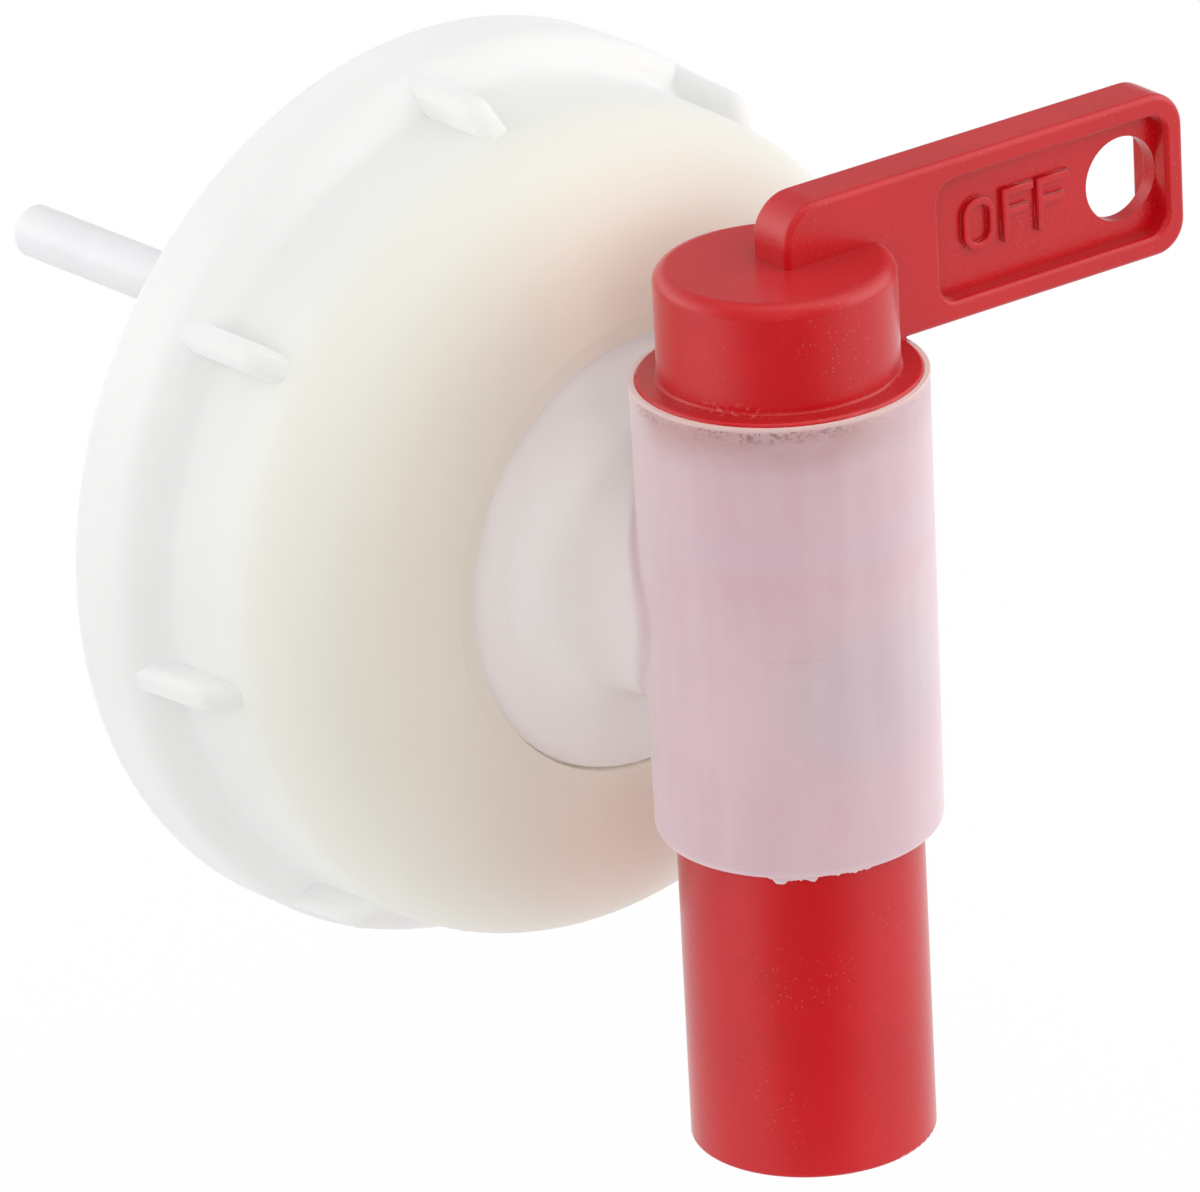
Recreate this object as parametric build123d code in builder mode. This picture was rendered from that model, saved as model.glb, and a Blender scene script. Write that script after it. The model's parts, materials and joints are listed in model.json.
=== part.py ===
from build123d import *
import os
from math import cos, radians, sin, sqrt, tan

# Vented drum tap: a ring cap for a 61 mm drum neck, a tap body that turns in it, and a lever plug with spout.
# The origin is on the cap's axis, in the plane where the gasket meets the drum's neck.
# +Y points into the drum, -Y is the tap's front and +Z is up. Sizes are in millimetres and degrees.

# Screw cap
cap_depth = 25.84
cap_face_wall = 2.8
cap_hole_radius = 17.63
cap_lip_width = 1.7
cap_lip_drop = 0.4
cap_face_width = 0.67
cap_shoulder_depth = 10.4
cap_thread_radius = 30.5
cap_wall = 2.5
cap_wall_draft = 2.3
cap_rim_height = 3.0
cap_rim_length = 7.0
cap_rim_front_round = 3.0
cap_rim_back_round = 0.9
cap_step_length = 1.5
cap_step_round = 1.6
cap_inner_chamfer = 4.5
cap_mouth_chamfer = 0.8

# Grip ribs of the cap, whose crests lie below the rim and fall a little towards the front
rib_count = 8
rib_first_angle = 8.0
rib_width = 2.4
rib_reach = 6.8
rib_back_drop = 0.06
rib_nose_drop = 0.8
rib_nose_round = 1.8
rib_crest_round = 1.0
rib_root_depth = 1.2

# Flange, hub and pipe of the tap body
flange_thread_gap = 2.3
flange_thickness = 3.0
flange_clearance = 0.2
hub_clearance = 0.25
hub_recess = 0.9
hub_fillet = 3.5
pipe_inset = 0.56

# Upright barrel of the tap body
barrel_reach = 23.91
barrel_top = 18.89
barrel_bottom = -17.77
barrel_lip = 0.4
barrel_wall = 1.3
barrel_foot_round = 1.0
barrel_root_fillet = 0.8

# Flow bore of the pipe, which lies below the cap's axis, and the vent above it
flow_radius = 5.5
flow_drop = 3.5
vent_height = 6.73
vent_socket_depth = 8.6
vent_channel_radius = 1.2

# Vent tube
tube_radius = 2.16
tube_bore_radius = 1.3
tube_reach = 66.67

# Neck gasket
gasket_thickness = 2.4
gasket_width = 6.2

# Plug, with its flange in the barrel's top and its spout below the barrel, a little slimmer than the seat
spout_radius = 9.41
spout_wall = 1.91
seat_step = 0.2
seat_inset = 0.1
plug_clearance = 0.05
plug_flange_width = 1.19
plug_flange_thickness = 1.6
plug_flange_proud = 0.26
plug_edge_round = 0.3
head_inset = 0.48
head_height = 8.55
head_root_fillet = 0.25
head_top_round = 1.1
head_roof = 2.2
roof_fillet = 1.5
spout_length = 25.42
port_radius = 6.35
vent_port_radius = 1.3

# Lever, a plate with a recess on each face and a hanging hole in the web
lever_angle = -4.44
lever_length = 37.47
lever_inner_end = 0.41
lever_thickness = 4.29
lever_rise = 4.67
lever_lift = 0.18
lever_inner_round = 3.2
lever_top_round = 3.0
lever_bottom_round = 2.6
lever_edge_round = 0.5
lever_foot_inset = 0.4
lever_root_depth = 0.7
recess_start = 13.9
recess_rim = 1.7
recess_depth = 1.5
recess_corner = 1.6
recess_edge_round = 0.4
hole_radius = 3.35

# Planes along Y, counted from the gasket's sealing face
flange_back = -gasket_thickness
flange_front = flange_back - flange_thickness
cap_inner_face = flange_front - flange_clearance
cap_front = cap_inner_face - cap_face_wall
cap_mouth = cap_front + cap_depth
hole_edge = cap_front + cap_lip_drop
hub_front = hole_edge + hub_recess
rim_front = cap_mouth - cap_rim_length
shoulder_end = cap_front + cap_shoulder_depth

# The cap's radii grow outwards from the thread, and its wall widens to the foot of the rim's step
cap_wall_radius = cap_thread_radius + cap_wall
cap_rim_radius = cap_wall_radius + cap_rim_height
lip_radius = cap_hole_radius + cap_lip_width
shoulder_centre_radius = lip_radius + cap_face_width
cap_shoulder_width = cap_wall_radius - shoulder_centre_radius
step_foot = rim_front - cap_step_length
step_foot_radius = cap_wall_radius + (step_foot - shoulder_end) * tan(radians(cap_wall_draft))
face_inner_radius = cap_thread_radius - cap_inner_chamfer

# The flange fits inside the thread, and its chamfer runs inside the cap's inner chamfer
flange_radius = cap_thread_radius - flange_thread_gap
chamfer_gap = flange_clearance * sqrt(2)
flange_front_radius = face_inner_radius + flange_clearance - chamfer_gap
flange_chamfer = flange_radius - flange_front_radius

# The plug's axis and the levels along it
plug_axis = Axis((0, -barrel_reach, 0), (0, 0, 1))
plug_plane = Plane(origin=(0, -barrel_reach, 0), x_dir=(1, 0, 0), z_dir=(0, -1, 0))
plug_radius = spout_radius + seat_step
plug_bore_radius = spout_radius - spout_wall
plug_flange_radius = plug_radius + plug_flange_width
head_radius = plug_radius - head_inset
barrel_bore_radius = plug_radius + plug_clearance
barrel_bottom_radius = barrel_bore_radius + barrel_wall
pipe_radius = barrel_bottom_radius - pipe_inset
plug_flange_top = barrel_top + plug_flange_proud
plug_flange_bottom = plug_flange_top - plug_flange_thickness
counterbore_radius = plug_flange_radius + plug_clearance
barrel_top_radius = counterbore_radius + barrel_lip
counterbore_floor = plug_flange_bottom - plug_clearance
head_top = plug_flange_top + head_height
bore_roof = head_top - head_roof
spout_end = barrel_bottom - spout_length
seat_bottom = barrel_bottom + seat_inset
flow_level = -flow_drop

# The lever's plane stands upright through the plug's axis, and the ports face across it
lever_direction = Vector(cos(radians(lever_angle)), sin(radians(lever_angle)), 0)
lever_front = Vector(sin(radians(lever_angle)), -cos(radians(lever_angle)), 0)
lever_plane = Plane(origin=(0, -barrel_reach, 0), x_dir=lever_direction, z_dir=lever_front)
lever_top = head_top + lever_rise
lever_bottom = plug_flange_top + lever_lift
lever_foot = plug_flange_radius - lever_foot_inset
lever_open_from = lever_foot + Vector(0, -barrel_reach, 0).dot(lever_direction)
recess_top = lever_top - recess_rim
recess_bottom = lever_bottom + recess_rim
recess_end = lever_length - recess_rim
recess_length = recess_end - recess_start
recess_height = recess_top - recess_bottom
recess_middle = (recess_top + recess_bottom) / 2

# One grip rib in the plane of +X: its crest falls from the rim to a rounded, sloping nose
rib_back = rim_front + cap_rim_front_round
rib_nose = rim_front - rib_reach
rib_back_radius = cap_rim_radius - rib_back_drop
rib_nose_radius = cap_rim_radius - rib_nose_drop
rib_root_radius = cap_wall_radius - rib_root_depth
rib_nose_foot = rib_nose - (rib_nose_radius - rib_root_radius)
with BuildPart() as rib:
    with BuildSketch(Plane.XY):
        with BuildLine():
            FilletPolyline(
                (rib_root_radius, rib_back),
                (rib_back_radius, rib_back),
                (rib_nose_radius, rib_nose),
                (rib_root_radius, rib_nose_foot),
                radius=[0, 0, rib_nose_round, 0],
                close=True,
            )
        make_face()
    extrude(amount=rib_width / 2, both=True)
    side_edges = rib.faces().filter_by(Axis.Z).edges()
    fillet(side_edges.filter_by_position(Axis.X, cap_wall_radius, rib_back_radius), rib_crest_round)

# Screw cap: dome, wall and rim in one turned profile, with the ribs around it
with BuildPart() as screw_cap:
    with BuildSketch(Plane.XY):
        with BuildLine():
            EllipticalCenterArc(
                (shoulder_centre_radius, shoulder_end),
                cap_shoulder_width,
                cap_shoulder_depth,
                start_angle=270,
                arc_size=90,
            )
            FilletPolyline(
                (cap_wall_radius, shoulder_end),
                (step_foot_radius, step_foot),
                (cap_rim_radius, rim_front),
                (cap_rim_radius, cap_mouth),
                (cap_thread_radius + cap_mouth_chamfer, cap_mouth),
                (cap_thread_radius, cap_mouth - cap_mouth_chamfer),
                (cap_thread_radius, cap_inner_face + cap_inner_chamfer),
                (face_inner_radius, cap_inner_face),
                (cap_hole_radius, cap_inner_face),
                (cap_hole_radius, hole_edge),
                (lip_radius, cap_front),
                (shoulder_centre_radius, cap_front),
                radius=[cap_step_round, cap_rim_front_round, cap_rim_back_round, 0, 0, 0, 0, 0, 0, 0],
            )
        make_face()
    revolve(axis=Axis.Y)
    for index in range(rib_count):
        rib_angle = rib_first_angle + index * 360 / rib_count
        add(rib.part, rotation=(0, -rib_angle, 0))
screw_cap.part.label = "screw_cap"

# Tap body: flange, hub and pipe are turned about the cap's axis, the barrel about the plug's axis
with BuildPart() as tap_body:
    with BuildSketch(Plane.XY):
        with BuildLine():
            Polyline(
                (pipe_radius, hub_front - hub_fillet),
                (pipe_radius, -barrel_reach),
                (0, -barrel_reach),
                (0, flange_back),
                (flange_radius, flange_back),
                (flange_radius, flange_front + flange_chamfer),
                (flange_front_radius, flange_front),
                (cap_hole_radius - hub_clearance, flange_front),
                (cap_hole_radius - hub_clearance, hub_front),
                (pipe_radius + hub_fillet, hub_front),
            )
            CenterArc((pipe_radius + hub_fillet, hub_front - hub_fillet), hub_fillet, 90, 90)
        make_face()
    revolve(axis=Axis.Y)
    with BuildSketch(plug_plane):
        with BuildLine():
            FilletPolyline(
                (0, barrel_bottom),
                (barrel_bottom_radius, barrel_bottom),
                (barrel_top_radius, barrel_top),
                (0, barrel_top),
                radius=[0, barrel_foot_round, 0, 0],
                close=True,
            )
        make_face()
    revolve(axis=plug_axis)
    root_edges = tap_body.edges().filter_by(GeomType.BSPLINE)
    fillet(root_edges, barrel_root_fillet)
    with BuildSketch(plug_plane):
        with BuildLine():
            Polyline(
                (0, barrel_bottom),
                (barrel_bore_radius, barrel_bottom),
                (barrel_bore_radius, counterbore_floor),
                (counterbore_radius, counterbore_floor),
                (counterbore_radius, barrel_top),
                (0, barrel_top),
                close=True,
            )
        make_face()
    revolve(axis=plug_axis, mode=Mode.SUBTRACT)
    with BuildSketch(Plane.XZ.offset(-flange_back)):
        with Locations((0, flow_level)):
            Circle(flow_radius)
    extrude(amount=flange_back + barrel_reach, mode=Mode.SUBTRACT)
    with BuildSketch(Plane.XZ.offset(-flange_back)):
        with Locations((0, vent_height)):
            Circle(vent_channel_radius)
    extrude(amount=flange_back + barrel_reach, mode=Mode.SUBTRACT)
    with BuildSketch(Plane.XZ.offset(-flange_back)):
        with Locations((0, vent_height)):
            Circle(tube_radius)
    extrude(amount=vent_socket_depth, mode=Mode.SUBTRACT)
tap_body.part.label = "tap_body"

# Vent tube, from the end of its socket into the drum
socket_end = flange_back - vent_socket_depth
with BuildPart() as vent_tube:
    with BuildSketch(Plane.XZ.offset(-tube_reach)):
        with Locations((0, vent_height)):
            Circle(tube_radius)
            Circle(tube_bore_radius, mode=Mode.SUBTRACT)
    extrude(amount=tube_reach - socket_end)
vent_tube.part.label = "vent_tube"

# Neck gasket, between the flange and the drum's neck
with BuildPart() as neck_gasket:
    with BuildSketch(Plane.XZ):
        Circle(flange_radius)
        Circle(flange_radius - gasket_width, mode=Mode.SUBTRACT)
    extrude(amount=gasket_thickness)
neck_gasket.part.label = "neck_gasket"

# Lever plate: it grows out of the plug's head and down to its flange
with BuildPart() as lever:
    with BuildSketch(lever_plane):
        with BuildLine():
            FilletPolyline(
                (-lever_inner_end, head_top - lever_root_depth),
                (-lever_inner_end, lever_top),
                (lever_length, lever_top),
                (lever_length, lever_bottom),
                (lever_foot, lever_bottom),
                (lever_foot, plug_flange_top - lever_root_depth),
                (head_radius - lever_root_depth, plug_flange_top - lever_root_depth),
                (head_radius - lever_root_depth, head_top - lever_root_depth),
                radius=[0, lever_inner_round, lever_top_round, lever_bottom_round, 0, 0, 0, 0],
                close=True,
            )
        make_face()
    extrude(amount=lever_thickness / 2, both=True)
    for side in (1, -1):
        with BuildSketch(lever_plane.offset(side * lever_thickness / 2)):
            with Locations((recess_start + recess_length / 2, recess_middle)):
                RectangleRounded(recess_length, recess_height, recess_corner)
        extrude(amount=-side * recess_depth, mode=Mode.SUBTRACT)
    with BuildSketch(lever_plane):
        with Locations((recess_end - hole_radius, recess_middle)):
            Circle(hole_radius)
    extrude(amount=lever_thickness, both=True, mode=Mode.SUBTRACT)
    outer_faces = lever.faces().sort_by(Axis((0, 0, 0), lever_front))
    fillet(outer_faces[0].inner_wires().edges() + outer_faces[-1].inner_wires().edges(), recess_edge_round)
    outer_faces = lever.faces().sort_by(Axis((0, 0, 0), lever_front))
    outline_edges = outer_faces[0].outer_wire().edges() + outer_faces[-1].outer_wire().edges()
    open_edges = outline_edges.filter_by(
        lambda edge: edge.center().Z > head_top or edge.center().dot(lever_direction) > lever_open_from
    )
    fillet(open_edges, lever_edge_round)

# Plug: spout, barrel, flange and head in one turned profile, with the lever, the port and the vent port
with BuildPart() as tap_plug:
    with BuildSketch(plug_plane):
        with BuildLine():
            FilletPolyline(
                (plug_bore_radius, spout_end),
                (spout_radius, spout_end),
                (spout_radius, seat_bottom),
                (plug_radius, seat_bottom + seat_step),
                (plug_radius, plug_flange_bottom),
                (plug_flange_radius, plug_flange_bottom),
                (plug_flange_radius, plug_flange_top),
                (head_radius, plug_flange_top),
                (head_radius, head_top),
                (0, head_top),
                (0, bore_roof),
                (plug_bore_radius, bore_roof),
                radius=[0, plug_edge_round, 0, 0, 0, 0, plug_edge_round, head_root_fillet, head_top_round,
                        0, 0, roof_fillet],
                close=True,
            )
        make_face()
    revolve(axis=plug_axis)
    add(lever.part)
    with BuildSketch(lever_plane):
        with Locations((0, flow_level)):
            Circle(port_radius)
        with Locations((0, vent_height)):
            Circle(vent_port_radius)
    extrude(amount=plug_radius + plug_clearance, mode=Mode.SUBTRACT)
tap_plug.part.label = "tap_plug"

os.makedirs("parts", exist_ok=True)
for piece in (screw_cap, tap_body, vent_tube, neck_gasket, tap_plug):
    export_step(piece.part, f"parts/{piece.part.label}.step")
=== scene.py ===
import json
import math

import bmesh
import bpy
from mathutils import Matrix, Vector, noise


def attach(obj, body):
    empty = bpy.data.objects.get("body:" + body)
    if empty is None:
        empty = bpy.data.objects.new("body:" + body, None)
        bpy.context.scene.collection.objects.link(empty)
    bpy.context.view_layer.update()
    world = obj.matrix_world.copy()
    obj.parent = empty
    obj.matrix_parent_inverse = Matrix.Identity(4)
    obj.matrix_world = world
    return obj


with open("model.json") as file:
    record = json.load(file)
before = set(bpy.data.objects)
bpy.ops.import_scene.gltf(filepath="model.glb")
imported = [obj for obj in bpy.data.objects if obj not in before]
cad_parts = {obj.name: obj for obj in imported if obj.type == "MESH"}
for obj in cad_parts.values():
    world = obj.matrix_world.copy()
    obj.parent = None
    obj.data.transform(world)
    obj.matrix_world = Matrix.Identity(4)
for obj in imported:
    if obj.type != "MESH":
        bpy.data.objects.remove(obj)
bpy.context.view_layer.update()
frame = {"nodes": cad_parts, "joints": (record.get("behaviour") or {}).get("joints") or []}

# Vented drum tap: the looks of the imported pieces, in metres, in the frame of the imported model.
# The origin is on the cap's axis at the gasket's sealing face, +Y goes into the drum and +Z is up.

MM = 0.001

# The photograph's camera, as fitted to the outlines of the cap, the barrel and the lever
IMAGE_WIDTH, IMAGE_HEIGHT = 1200.0, 1192.0
FOCAL_PIXELS = 11000.0
CAMERA_AZIMUTH, CAMERA_ELEVATION, CAMERA_ROLL = -40.609, 23.003, -2.781
CAMERA_DISTANCE = 829.343 * MM
AIM_POINT = Vector((0.0, -18.0 * MM, 0.0))
AIM_PIXEL = (737.519, 585.315)
SENSOR_WIDTH = 36.0

# Levels and radii of the pieces that the details sit on
PLUG_Y = next(j for j in frame["joints"] if j["name"] == "plug_turn")["pos_m"][1]
LEVER_ANGLE = math.radians(-4.44)
LEVER_HALF_WEB = 0.645 * MM
HEAD_RADIUS = 9.13 * MM
FLANGE_TOP = 19.15 * MM
BARREL_BOTTOM = -17.77 * MM
BARREL_BORE = 9.66 * MM
BARREL_EDGE, PIPE_START = 11.3 * MM, 12.2 * MM
CAP_FRONT, CAP_FACE, CAP_SHOULDER = -8.5 * MM, -2.0 * MM, 5.0 * MM

# The word on the lever's web, by lengths along the lever from the plug's axis and by heights
WEB_START, WEB_MIDDLE, WEB_HALF_HEIGHT = 14.0 * MM, 25.85 * MM, 5.0 * MM
LETTER_BOTTOM = 23.95 * MM
LETTER_HEIGHT = 4.2 * MM
LETTER_STROKE = 0.62 * MM
LETTER_RISE = 0.45 * MM
LETTER_SUNK = 0.1 * MM
LETTER_EDGE = 0.12 * MM
O_LEFT, O_WIDTH, O_CORNER = 17.0 * MM, 3.1 * MM, 1.45 * MM
FIRST_F_LEFT, FIRST_F_WIDTH = 20.8 * MM, 3.0 * MM
SECOND_F_LEFT, SECOND_F_WIDTH = 24.1 * MM, 3.2 * MM

# Marks on the barrel, by height
LIP_BOTTOM = 18.65 * MM
FLECKS_BOTTOM, FLECKS_TOP = 17.3 * MM, 18.5 * MM
SMEAR_BOTTOM, SMEAR_TOP = 14.6 * MM, 18.2 * MM
GROOVE_LEVEL, GROOVE_HALF = 8.8 * MM, 1.6 * MM
RUB_LEVEL, RUB_HALF = 6.0 * MM, 1.2 * MM
SEAM_LEVEL, SEAM_HALF = 0.15 * MM, 0.10 * MM

# The neck thread inside the cap, and the flash below the barrel
THREAD_RADIUS = 30.5 * MM
THREAD_PITCH = 6.0 * MM
THREAD_RIDGE = 1.6 * MM
THREAD_START = 2.6 * MM
THREAD_TURNS = 2.0
THREAD_WIDTH = 3.4 * MM
FLASH_HALF_TURN = 75.0
FLASH_STEPS = 300

# The studio: a white table, and soft white screens that each have an angle from the camera's, an elevation
# and a level
FLOOR_LEVEL = -60.0 * MM
TABLE_SIZE, TABLE_FRONT = 6.0, 40.0 * MM
LEFT_SCREENS = ((-90, 15, 2.05), (-135, 12, 1.5), (-60, -30, 1.1))
RIGHT_SCREENS = ((90, 12, 2.05), (135, 12, 1.0), (90, 50, 1.2), (60, -30, 0.7))
OTHER_SCREENS = ((0, 50, 0.55), (0, 88, 0.95))
SCREEN_SHARPNESS = 7.0
FILL_ELEVATION, FILL_SPREAD, FILL_LEVEL = 10.0, 60.0, 1.7


def towards(azimuth, elevation):
    """The unit vector from the tap to a viewer at these angles, in degrees."""
    azimuth, elevation = math.radians(azimuth), math.radians(elevation)
    return Vector((
        math.sin(azimuth) * math.cos(elevation),
        -math.cos(azimuth) * math.cos(elevation),
        math.sin(elevation),
    ))


def camera():
    """Sets the camera where the photograph was taken from."""
    back = towards(CAMERA_AZIMUTH, CAMERA_ELEVATION)
    level_right = (-back).cross(Vector((0, 0, 1))).normalized()
    level_up = level_right.cross(-back)
    roll = math.radians(CAMERA_ROLL)
    right = math.cos(roll) * level_right + math.sin(roll) * level_up
    up = -math.sin(roll) * level_right + math.cos(roll) * level_up
    turn = Matrix((right, up, back)).transposed()
    aim = Vector((
        (AIM_PIXEL[0] - IMAGE_WIDTH / 2) / FOCAL_PIXELS,
        -(AIM_PIXEL[1] - IMAGE_HEIGHT / 2) / FOCAL_PIXELS,
        -1.0,
    ))
    pointing = Vector((0, 0, -1)).rotation_difference(aim).to_matrix()
    data = bpy.data.cameras.new("camera")
    data.sensor_width = SENSOR_WIDTH
    data.lens = FOCAL_PIXELS / IMAGE_WIDTH * SENSOR_WIDTH
    data.clip_start, data.clip_end = 0.01, 20.0
    seen = bpy.data.objects.new("camera", data)
    bpy.context.scene.collection.objects.link(seen)
    seen.matrix_world = Matrix.Translation(AIM_POINT + CAMERA_DISTANCE * back) @ (
        turn @ pointing.inverted()
    ).to_4x4()
    bpy.context.scene.camera = seen


# Materials
class Nodes:
    """A short way to build one material's node tree."""

    def __init__(self, name):
        self.material = bpy.data.materials.new(name)
        self.material.use_nodes = True
        self.tree = self.material.node_tree
        self.shader = self.tree.nodes["Principled BSDF"]
        self.output = self.tree.nodes["Material Output"]

    def add(self, kind, **settings):
        node = self.tree.nodes.new(kind)
        for key, value in settings.items():
            setattr(node, key, value)
        return node

    def link(self, source, target):
        self.tree.links.new(source, target)

    def set(self, **values):
        for key, value in values.items():
            self.shader.inputs[key.replace("_", " ")].default_value = value

    def place(self):
        return self.add("ShaderNodeTexCoord").outputs["Object"]

    def noise(self, scale, detail=2.0, roughness=0.5, place=None):
        node = self.add("ShaderNodeTexNoise")
        node.inputs["Scale"].default_value = scale
        node.inputs["Detail"].default_value = detail
        node.inputs["Roughness"].default_value = roughness
        self.link(place or self.place(), node.inputs["Vector"])
        return node.outputs["Fac"]

    def ramp(self, factor, *stops):
        node = self.add("ShaderNodeValToRGB")
        elements = node.color_ramp.elements
        while len(elements) < len(stops):
            elements.new(0.5)
        for element, (position, colour) in zip(elements, stops):
            element.position = position
            element.color = (*colour, 1.0)
        self.link(factor, node.inputs["Fac"])
        return node.outputs["Color"]

    def math(self, operation, first, second):
        node = self.add("ShaderNodeMath", operation=operation)
        for socket, value in zip(node.inputs, (first, second)):
            if isinstance(value, (int, float)):
                socket.default_value = value
            else:
                self.link(value, socket)
        return node.outputs[0]

    def span(self, value, low, high, to_low=0.0, to_high=1.0):
        node = self.add("ShaderNodeMapRange", interpolation_type="SMOOTHSTEP")
        self.link(value, node.inputs["Value"])
        node.inputs["From Min"].default_value = low
        node.inputs["From Max"].default_value = high
        node.inputs["To Min"].default_value = to_low
        node.inputs["To Max"].default_value = to_high
        return node.outputs["Result"]

    def band(self, value, middle, half):
        """One at a middle value, which falls off to nothing on both sides."""
        off = self.math("ABSOLUTE", self.math("SUBTRACT", value, middle), 0.0)
        return self.span(off, 0.5 * half, 1.3 * half, 1.0, 0.0)

    def axis(self, name):
        node = self.add("ShaderNodeSeparateXYZ")
        self.link(self.place(), node.inputs[0])
        return node.outputs[name]

    def along(self, direction):
        """The distance along a direction from the plug's axis at the origin's level."""
        node = self.add("ShaderNodeVectorMath", operation="DOT_PRODUCT")
        self.link(self.place(), node.inputs[0])
        node.inputs[1].default_value = direction
        return self.math("SUBTRACT", node.outputs["Value"], direction[1] * PLUG_Y)

    def from_plug_axis(self):
        """The distance from the plug's axis."""
        across = self.add("ShaderNodeVectorMath", operation="MULTIPLY_ADD")
        self.link(self.place(), across.inputs[0])
        across.inputs[1].default_value = (1.0, 1.0, 0.0)
        across.inputs[2].default_value = (0.0, -PLUG_Y, 0.0)
        distance = self.add("ShaderNodeVectorMath", operation="LENGTH")
        self.link(across.outputs[0], distance.inputs[0])
        return distance.outputs["Value"]

    def stretched(self, x, y, z):
        """Coordinates scaled by a factor along each axis."""
        node = self.add("ShaderNodeVectorMath", operation="MULTIPLY")
        self.link(self.place(), node.inputs[0])
        node.inputs[1].default_value = (x, y, z)
        return node.outputs[0]

    def product(self, *factors):
        result = factors[0]
        for factor in factors[1:]:
            result = self.math("MULTIPLY", result, factor)
        return result

    def mix(self, factor, first, second):
        node = self.add("ShaderNodeMix", data_type="RGBA")
        sockets = (node.inputs["Factor"], node.inputs[6], node.inputs[7])
        for socket, value in zip(sockets, (factor, first, second)):
            if isinstance(value, tuple):
                socket.default_value = (*value, 1.0)
            elif isinstance(value, (int, float)):
                socket.default_value = value
            else:
                self.link(value, socket)
        return node.outputs[2]

    def bump(self, height, distance):
        node = self.add("ShaderNodeBump")
        node.inputs["Distance"].default_value = distance
        node.inputs["Strength"].default_value = 1.0
        self.link(height, node.inputs["Height"])
        self.link(node.outputs["Normal"], self.shader.inputs["Normal"])

    def let_through(self, share, colour):
        """Lets a share of the light through the wall, spread as milky plastic does, less at a slant."""
        glow = self.add("ShaderNodeBsdfTranslucent")
        self.link(colour, glow.inputs["Color"])
        slant = self.add("ShaderNodeLayerWeight")
        slant.inputs["Blend"].default_value = 0.35
        blend = self.add("ShaderNodeMixShader")
        straight = self.span(slant.outputs["Facing"], 0.0, 1.0, 1.0, 0.35)
        self.link(self.math("MULTIPLY", straight, share), blend.inputs[0])
        self.link(self.shader.outputs[0], blend.inputs[1])
        self.link(glow.outputs[0], blend.inputs[2])
        self.link(blend.outputs[0], self.output.inputs["Surface"])


def cap_plastic():
    """Milky white plastic, with painted light: yellower on the shoulder and a shaded cream on the front
    face.
    """
    nodes = Nodes("cap_plastic")
    front = nodes.span(nodes.axis("Y"), CAP_FRONT, CAP_FACE, 1.0, 0.0)
    shoulder = nodes.span(nodes.axis("Y"), CAP_FACE, CAP_SHOULDER, 1.0, 0.0)
    mottle = nodes.noise(60.0, 3.0)
    white = nodes.ramp(mottle, (0.3, (0.91, 0.91, 0.905)), (0.7, (0.94, 0.94, 0.935)))
    # Painted light: the shoulder and face are tinted yellower than the rim, for how the light comes through
    # them.
    white = nodes.mix(shoulder, white, (0.92, 0.915, 0.85))
    # Painted shade and painted reflection: the front face is a darker cream, redder towards the barrel for
    # light bounced from the red plug.
    cream = nodes.ramp(mottle, (0.3, (0.91, 0.86, 0.78)), (0.7, (0.94, 0.89, 0.82)))
    red_bounce_mask = nodes.span(nodes.axis("X"), -18.0 * MM, -4.0 * MM)
    cream = nodes.mix(red_bounce_mask, cream, (0.99, 0.92, 0.84))
    colour = nodes.mix(front, white, cream)
    nodes.link(colour, nodes.shader.inputs["Base Color"])
    nodes.set(Roughness=0.45, IOR=1.6)
    nodes.bump(nodes.noise(900.0, 1.0), 0.02 * MM)
    nodes.let_through(0.45, colour)
    return nodes.material


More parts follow.
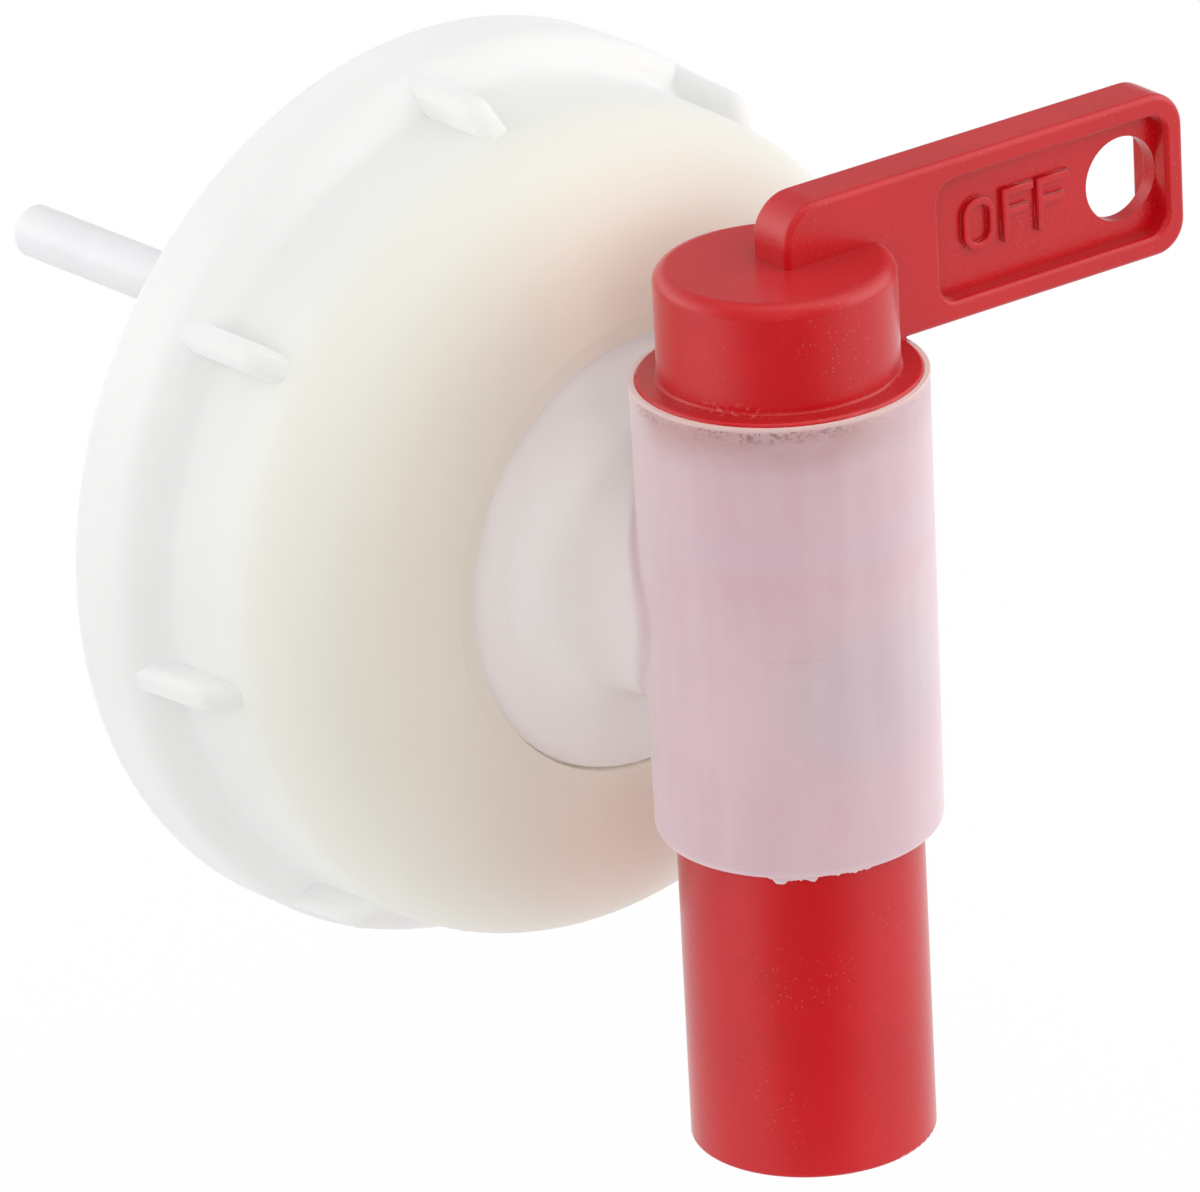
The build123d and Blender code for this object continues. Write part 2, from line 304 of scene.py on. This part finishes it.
def body_plastic():
    """Translucent plastic, through which the red plug shows, painted pinker on the barrel, with rubbed
    bands and dirt under the lip.
    """
    nodes = Nodes("body_plastic")
    cloud = nodes.noise(120.0, 3.0)
    off_barrel = nodes.span(nodes.from_plug_axis(), BARREL_EDGE, PIPE_START)
    on_barrel = nodes.math("SUBTRACT", 1.0, off_barrel)
    # Painted light: on the barrel both colours are pinker, for the red plug's light coming through the
    # wall.
    pale = nodes.mix(off_barrel, (0.96, 0.87, 0.90), (0.98, 0.95, 0.94))
    dull = nodes.mix(off_barrel, (0.94, 0.81, 0.86), (0.95, 0.92, 0.90))
    streaks = nodes.noise(420.0, 3.0, 0.6, nodes.stretched(1.0, 1.0, 0.12))
    tone = nodes.math("ADD", nodes.product(cloud, 0.45), nodes.product(streaks, 0.55))
    milk = nodes.mix(nodes.span(tone, 0.36, 0.64), dull, pale)
    height = nodes.axis("Z")
    front = nodes.span(nodes.axis("Y"), PLUG_Y + 1.0 * MM, PLUG_Y + 7.0 * MM, 1.0, 0.0)
    seen = nodes.product(on_barrel, front)
    groove = nodes.product(seen, nodes.band(height, GROOVE_LEVEL, GROOVE_HALF), 0.20)
    milk = nodes.mix(groove, milk, (0.90, 0.87, 0.97))
    blush = nodes.span(nodes.noise(150.0, 2.0), 0.40, 0.60, 0.3, 1.0)
    rub = nodes.product(seen, nodes.band(height, RUB_LEVEL, RUB_HALF), blush, 0.13)
    milk = nodes.mix(rub, milk, (0.90, 0.62, 0.68))
    facing = nodes.along(towards(CAMERA_AZIMUTH, 0.0))
    dashes = nodes.product(
        nodes.span(nodes.noise(700.0, 2.0), 0.48, 0.62),
        nodes.span(facing, 9.8 * MM, 11.2 * MM),
    )
    seam = nodes.product(seen, nodes.band(height, SEAM_LEVEL, SEAM_HALF), dashes, 0.12)
    milk = nodes.mix(seam, milk, (0.55, 0.35, 0.40))
    below_lip = nodes.span(height, LIP_BOTTOM - 0.1 * MM, LIP_BOTTOM + 0.1 * MM, 1.0, 0.0)
    leftwards = nodes.along(towards(CAMERA_AZIMUTH - 20.0, 0.0))
    grimy = nodes.product(seen, below_lip, nodes.span(leftwards, 3.0 * MM, 11.0 * MM, 0.3, 1.0))
    smear = nodes.span(height, SMEAR_BOTTOM, SMEAR_TOP)
    drips = nodes.noise(160.0, 4.0, 0.6, nodes.stretched(1.0, 1.0, 2.6))
    patches = nodes.span(drips, 0.30, 0.62, 0.45, 1.0)
    stained = nodes.mix(nodes.product(grimy, smear, patches, 0.5), milk, (0.70, 0.36, 0.31))
    edge = nodes.span(height, FLECKS_BOTTOM, FLECKS_TOP)
    specks = nodes.noise(2300.0, 3.0, 0.7, nodes.stretched(1.0, 1.0, 1.6))
    flecks = nodes.span(specks, 0.47, 0.62)
    clusters = nodes.span(nodes.noise(420.0, 2.0), 0.34, 0.56, 0.25, 1.0)
    left_side = nodes.along(towards(CAMERA_AZIMUTH - 50.0, 0.0))
    left_half = nodes.span(left_side, 0.0, 8.0 * MM, 0.25, 1.0)
    dirt = nodes.product(seen, below_lip, edge, flecks, clusters, left_half, 0.65)
    colour = nodes.mix(dirt, stained, (0.22, 0.16, 0.14))
    # Painted highlight: a pale line along the barrel's lower edge, where the edge catches the light.
    bottom_edge_highlight = nodes.span(height, BARREL_BOTTOM + 0.1 * MM, BARREL_BOTTOM + 0.35 * MM, 0.7, 0.0)
    colour = nodes.mix(nodes.product(on_barrel, bottom_edge_highlight), colour, (0.99, 0.96, 0.96))
    lip_face = nodes.span(height, LIP_BOTTOM - 0.05 * MM, LIP_BOTTOM + 0.15 * MM)
    lip = nodes.product(on_barrel, lip_face, 0.7)
    colour = nodes.mix(lip, colour, (0.96, 0.84, 0.77))
    nodes.link(colour, nodes.shader.inputs["Base Color"])
    nodes.set(Roughness=0.4, IOR=1.75)
    nodes.bump(nodes.noise(700.0, 1.0), 0.015 * MM)
    nodes.let_through(nodes.span(off_barrel, 0.0, 1.0, 0.68, 0.48), colour)
    return nodes.material


def plug_plastic():
    """Red plastic with fine pale dust, more of it in the corner at the head's foot, and a grained web."""
    nodes = Nodes("plug_plastic")
    cloud = nodes.noise(140.0, 3.0)
    red = nodes.ramp(cloud, (0.3, (0.45, 0.002, 0.005)), (0.7, (0.49, 0.003, 0.007)))
    away = nodes.math("ABSOLUTE", nodes.math("SUBTRACT", nodes.from_plug_axis(), HEAD_RADIUS), 0.0)
    raised = nodes.math("ABSOLUTE", nodes.math("SUBTRACT", nodes.axis("Z"), FLANGE_TOP), 0.0)
    corner = nodes.product(
        nodes.span(away, 0.1 * MM, 1.1 * MM, 1.0, 0.0),
        nodes.span(raised, 0.1 * MM, 1.1 * MM, 1.0, 0.0),
        nodes.span(nodes.along(towards(CAMERA_AZIMUTH + 60.0, 0.0)), 1.0 * MM, 6.0 * MM, 1.0, 0.0),
        nodes.span(nodes.axis("Y"), PLUG_Y - 2.0 * MM, PLUG_Y + 3.0 * MM, 1.0, 0.0),
    )
    powder = nodes.product(corner, nodes.span(nodes.noise(2600.0, 3.0, 0.7), 0.52, 0.66), 0.6)
    dots = nodes.add("ShaderNodeTexVoronoi")
    dots.inputs["Scale"].default_value = 2300.0
    nodes.link(nodes.place(), dots.inputs["Vector"])
    spots = nodes.span(dots.outputs["Distance"], 0.08, 0.18, 1.0, 0.0)
    drifts = nodes.span(nodes.noise(200.0, 2.0), 0.45, 0.65, 0.05, 0.4)
    dusted = nodes.math("MAXIMUM", powder, nodes.product(spots, drifts))
    nodes.link(nodes.mix(dusted, red, (0.66, 0.20, 0.17)), nodes.shader.inputs["Base Color"])
    nodes.set(Roughness=0.30, IOR=1.5, Sheen_Weight=0.3, Sheen_Roughness=0.25)
    lever = Vector((math.cos(LEVER_ANGLE), math.sin(LEVER_ANGLE), 0.0))
    across = Vector((math.sin(LEVER_ANGLE), -math.cos(LEVER_ANGLE), 0.0))
    web = nodes.product(
        nodes.span(nodes.along(lever), WEB_START - 0.1 * MM, WEB_START + 0.1 * MM),
        nodes.span(nodes.math("ABSOLUTE", nodes.along(across), 0.0), 0.70 * MM, 0.80 * MM, 1.0, 0.0),
        nodes.band(nodes.axis("Z"), WEB_MIDDLE, WEB_HALF_HEIGHT),
    )
    fine = nodes.noise(1500.0, 1.0)
    grain = nodes.product(web, nodes.noise(3400.0, 2.0), 3.5)
    nodes.bump(nodes.math("ADD", fine, grain), 0.012 * MM)
    return nodes.material


def tube_plastic():
    """Bluish white plastic, a little see-through."""
    nodes = Nodes("tube_plastic")
    cloud = nodes.noise(90.0, 3.0)
    white = nodes.ramp(cloud, (0.3, (0.71, 0.71, 0.73)), (0.7, (0.75, 0.75, 0.77)))
    nodes.link(white, nodes.shader.inputs["Base Color"])
    nodes.set(Roughness=0.35, IOR=1.5, Subsurface_Weight=0.3, Subsurface_Scale=1.0 * MM)
    nodes.bump(nodes.noise(800.0, 2.0), 0.01 * MM)
    return nodes.material


def gasket_rubber():
    """Pale matt rubber."""
    nodes = Nodes("gasket_rubber")
    cloud = nodes.noise(300.0, 4.0)
    grey = nodes.ramp(cloud, (0.3, (0.74, 0.74, 0.72)), (0.7, (0.80, 0.80, 0.78)))
    nodes.link(grey, nodes.shader.inputs["Base Color"])
    nodes.set(Roughness=0.7, IOR=1.5)
    nodes.bump(nodes.noise(1200.0, 3.0), 0.03 * MM)
    return nodes.material


def dress(thing, material):
    """Gives a piece one material."""
    thing.data.materials.clear()
    thing.data.materials.append(material)


# Pieces that are too fine for the solids
def add_piece(name, mesh, body, material):
    """Turns a closed bmesh into a piece that rides on a body."""
    bmesh.ops.recalc_face_normals(mesh, faces=mesh.faces[:])
    data = bpy.data.meshes.new(name)
    mesh.to_mesh(data)
    mesh.free()
    piece = bpy.data.objects.new(name, data)
    bpy.context.scene.collection.objects.link(piece)
    data.shade_smooth()
    dress(piece, material)
    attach(piece, body)


def rounded_loop(low, high, left, right, corner, steps=10):
    """Points along a rectangle with round corners, counterclockwise."""
    points = []
    for number, (x, y) in enumerate(((right, low), (right, high), (left, high), (left, low))):
        centre_x = x - corner if x == right else x + corner
        centre_y = y - corner if y == high else y + corner
        for step in range(steps + 1):
            angle = math.radians(90 * (number - 1) + 90 * step / steps)
            points.append((centre_x + corner * math.cos(angle), centre_y + corner * math.sin(angle)))
    return points


def letter_f(left, width):
    """The outline of an F on the lever's web, in along-lever and upward lengths."""
    low, high = LETTER_BOTTOM, LETTER_BOTTOM + LETTER_HEIGHT
    stem, middle = left + LETTER_STROKE, low + 0.47 * LETTER_HEIGHT
    return [
        (left, low), (stem, low), (stem, middle), (left + 0.82 * width, middle),
        (left + 0.82 * width, middle + LETTER_STROKE), (stem, middle + LETTER_STROKE),
        (stem, high - LETTER_STROKE), (left + width, high - LETTER_STROKE),
        (left + width, high), (left, high),
    ]


def lever_place(along, up, out):
    """A point on the lever, from its axis outwards, upwards and off its middle plane to the front."""
    return Vector((
        along * math.cos(LEVER_ANGLE) + out * math.sin(LEVER_ANGLE),
        PLUG_Y + along * math.sin(LEVER_ANGLE) - out * math.cos(LEVER_ANGLE),
        up,
    ))


def raised_letter(name, outer, inner, material):
    """A letter that stands off the lever's web, with softened top edges."""
    mesh = bmesh.new()
    loops = []
    for loop in filter(None, (outer, inner)):
        loops.append([mesh.verts.new(lever_place(x, y, LEVER_HALF_WEB - LETTER_SUNK)) for x, y in loop])
    if inner:
        count = len(outer)
        for i in range(count):
            j = (i + 1) % count
            mesh.faces.new((loops[0][i], loops[0][j], loops[1][j], loops[1][i]))
    else:
        mesh.faces.new(loops[0])
    base = mesh.faces[:]
    raised = bmesh.ops.extrude_face_region(mesh, geom=base)
    top = [v for v in raised["geom"] if isinstance(v, bmesh.types.BMVert)]
    faces = [f for f in raised["geom"] if isinstance(f, bmesh.types.BMFace)]
    lift = lever_place(0, 0, LETTER_RISE + LETTER_SUNK) - lever_place(0, 0, 0)
    bmesh.ops.translate(mesh, verts=top, vec=lift)
    lifted = set(faces)
    rim = [e for f in faces for e in f.edges if sum(g in lifted for g in e.link_faces) == 1]
    bmesh.ops.bevel(mesh, geom=list(set(rim)), offset=LETTER_EDGE, segments=3, profile=0.5, affect="EDGES")
    add_piece(name, mesh, "plug", material)


def letters(material):
    """The word OFF on the lever's front web."""
    low, high = LETTER_BOTTOM, LETTER_BOTTOM + LETTER_HEIGHT
    left, right, stroke = O_LEFT, O_LEFT + O_WIDTH, LETTER_STROKE
    outer = rounded_loop(low, high, left, right, O_CORNER)
    inner = rounded_loop(low + stroke, high - stroke, left + stroke, right - stroke, O_CORNER - stroke)
    raised_letter("letter_o", outer, inner, material)
    raised_letter("letter_f_1", letter_f(FIRST_F_LEFT, FIRST_F_WIDTH), None, material)
    raised_letter("letter_f_2", letter_f(SECOND_F_LEFT, SECOND_F_WIDTH), None, material)


def thread(material):
    """The cap's neck thread, a ridge of rounded trapezoid section that runs out at both ends."""
    mesh = bmesh.new()
    steps = int(THREAD_TURNS * 180)
    flank = ((0.5, -0.06), (0.30, 0.55), (0.18, 0.92))
    section = [(-x, out) for x, out in flank] + [(0.0, 1.0)] + list(reversed(flank))
    rings = []
    for step in range(steps + 1):
        share = step / steps
        angle = 2 * math.pi * THREAD_TURNS * share
        run = min(1.0, share * 8, (1 - share) * 8)
        rise = THREAD_RIDGE * (0.04 + 0.96 * math.sin(run * math.pi / 2))
        ring = []
        for across, out in section:
            radius = THREAD_RADIUS - out * (rise if out > 0 else THREAD_RIDGE)
            y = THREAD_START + THREAD_PITCH * THREAD_TURNS * share + across * THREAD_WIDTH
            ring.append(mesh.verts.new((radius * math.cos(angle), y, radius * math.sin(angle))))
        rings.append(ring)
    for first, second in zip(rings, rings[1:]):
        for i in range(len(section)):
            j = (i + 1) % len(section)
            mesh.faces.new((first[i], first[j], second[j], second[i]))
    mesh.faces.new(rings[0])
    mesh.faces.new(rings[-1])
    add_piece("neck_thread", mesh, "cap", material)


def torn_flash(material):
    """Thin moulding flash under the barrel's edge: it hangs in scraps at the front, frayed to the right."""
    mesh = bmesh.new()
    rings = []
    for step in range(FLASH_STEPS + 1):
        turn = FLASH_HALF_TURN * (2.0 * step / FLASH_STEPS - 1.0)
        angle = math.radians(CAMERA_AZIMUTH - 90.0 + turn)
        ragged = noise.noise(Vector((turn * 0.15, 3.1, 0.0)))
        ragged += 0.4 * noise.noise(Vector((turn * 0.55, 8.2, 0.0)))
        hanging = max(0.0, min(1.0, (turn + 19.0) / 6.0, (7.0 - turn) / 1.0))
        frayed = max(0.0, min(1.0, (turn - 5.0) / 3.0, (33.0 - turn) / 5.0))
        depth = 0.08 + hanging * max(0.06, 0.26 + 0.40 * ragged)
        depth += frayed * max(0.0, 0.06 + 0.30 * ragged)
        depth *= MM * min(1.0, (FLASH_HALF_TURN - abs(turn)) / 20.0)
        ring = []
        for radius, z in (
            (BARREL_BORE + 0.02 * MM, BARREL_BOTTOM + 0.05 * MM),
            (BARREL_BORE + 0.42 * MM, BARREL_BOTTOM + 0.05 * MM),
            (BARREL_BORE + (0.30 + 0.12 * ragged) * MM, BARREL_BOTTOM - depth),
            (BARREL_BORE + (0.16 + 0.12 * ragged) * MM, BARREL_BOTTOM - depth),
        ):
            ring.append(mesh.verts.new((radius * math.cos(angle), PLUG_Y + radius * math.sin(angle), z)))
        rings.append(ring)
    for first, second in zip(rings, rings[1:]):
        for i in range(4):
            j = (i + 1) % 4
            mesh.faces.new((first[i], first[j], second[j], second[i]))
    mesh.faces.new(rings[0])
    mesh.faces.new(rings[-1])
    add_piece("torn_flash", mesh, "tap", material)


# Stage
def floor_white():
    """The white table, which shows as plain white and keeps a faint shadow."""
    nodes = Nodes("floor_white")
    nodes.set(Base_Color=(0.85, 0.85, 0.85, 1.0), Roughness=0.9)
    glow = nodes.add("ShaderNodeEmission")
    glow.inputs["Strength"].default_value = 1.0
    path = nodes.add("ShaderNodeLightPath")
    mirrored = nodes.math("MAXIMUM", path.outputs["Is Glossy Ray"], path.outputs["Is Transmission Ray"])
    share = nodes.math(
        "MAXIMUM",
        nodes.math("MULTIPLY", path.outputs["Is Camera Ray"], 0.92),
        nodes.math("MULTIPLY", mirrored, 0.70),
    )
    blend = nodes.add("ShaderNodeMixShader")
    nodes.link(share, blend.inputs[0])
    nodes.link(nodes.shader.outputs[0], blend.inputs[1])
    nodes.link(glow.outputs[0], blend.inputs[2])
    nodes.link(blend.outputs[0], nodes.output.inputs["Surface"])
    return nodes.material


def studio():
    """White screens round a white table, and a soft fill from the camera's side that gives no gloss."""
    scene = bpy.context.scene
    scene.view_settings.view_transform = "Standard"
    world = bpy.data.worlds.new("studio")
    scene.world = world
    world.use_nodes = True
    tree = world.node_tree
    background = tree.nodes["Background"]
    background.inputs["Color"].default_value = (1.0, 1.0, 1.0, 1.0)
    place = tree.nodes.new("ShaderNodeTexCoord")

    def joined(operation, *values):
        """One number from others, by arithmetic nodes."""
        node = tree.nodes.new("ShaderNodeMath")
        node.operation = operation
        for socket, value in zip(node.inputs, values):
            if isinstance(value, (int, float)):
                socket.default_value = value
            else:
                tree.links.new(value, socket)
        return node.outputs[0]

    level = 0.0
    for turn, elevation, strength in LEFT_SCREENS + RIGHT_SCREENS + OTHER_SCREENS:
        dot = tree.nodes.new("ShaderNodeVectorMath")
        dot.operation = "DOT_PRODUCT"
        dot.inputs[1].default_value = towards(CAMERA_AZIMUTH + turn, elevation)
        tree.links.new(place.outputs["Generated"], dot.inputs[0])
        fall = joined("MULTIPLY_ADD", dot.outputs["Value"], SCREEN_SHARPNESS, -SCREEN_SHARPNESS)
        level = joined("MULTIPLY_ADD", joined("EXPONENT", fall), strength, level)
    path = tree.nodes.new("ShaderNodeLightPath")
    seen = tree.nodes.new("ShaderNodeMix")
    tree.links.new(path.outputs["Is Camera Ray"], seen.inputs[0])
    tree.links.new(level, seen.inputs[2])
    seen.inputs[3].default_value = 1.0
    tree.links.new(seen.outputs[0], background.inputs["Strength"])
    centre = (TABLE_FRONT - TABLE_SIZE / 2) * towards(CAMERA_AZIMUTH, 0.0)
    bpy.ops.mesh.primitive_plane_add(
        size=TABLE_SIZE,
        location=(centre.x, PLUG_Y + centre.y, FLOOR_LEVEL),
        rotation=(0, 0, math.radians(CAMERA_AZIMUTH)),
    )
    floor = bpy.context.object
    floor.name = "floor"
    dress(floor, floor_white())
    data = bpy.data.lights.new("fill", "SUN")
    data.energy = FILL_LEVEL
    data.angle = math.radians(FILL_SPREAD)
    fill = bpy.data.objects.new("fill", data)
    scene.collection.objects.link(fill)
    fill.rotation_euler = towards(CAMERA_AZIMUTH, FILL_ELEVATION).to_track_quat("Z", "Y").to_euler()
    fill.visible_glossy = False


camera()
studio()
cap_look, body_look, plug_look = cap_plastic(), body_plastic(), plug_plastic()
dress(frame["nodes"]["screw_cap"], cap_look)
dress(frame["nodes"]["tap_body"], body_look)
dress(frame["nodes"]["tap_plug"], plug_look)
dress(frame["nodes"]["vent_tube"], tube_plastic())
dress(frame["nodes"]["neck_gasket"], gasket_rubber())
letters(plug_look)
thread(cap_look)
torn_flash(body_look)
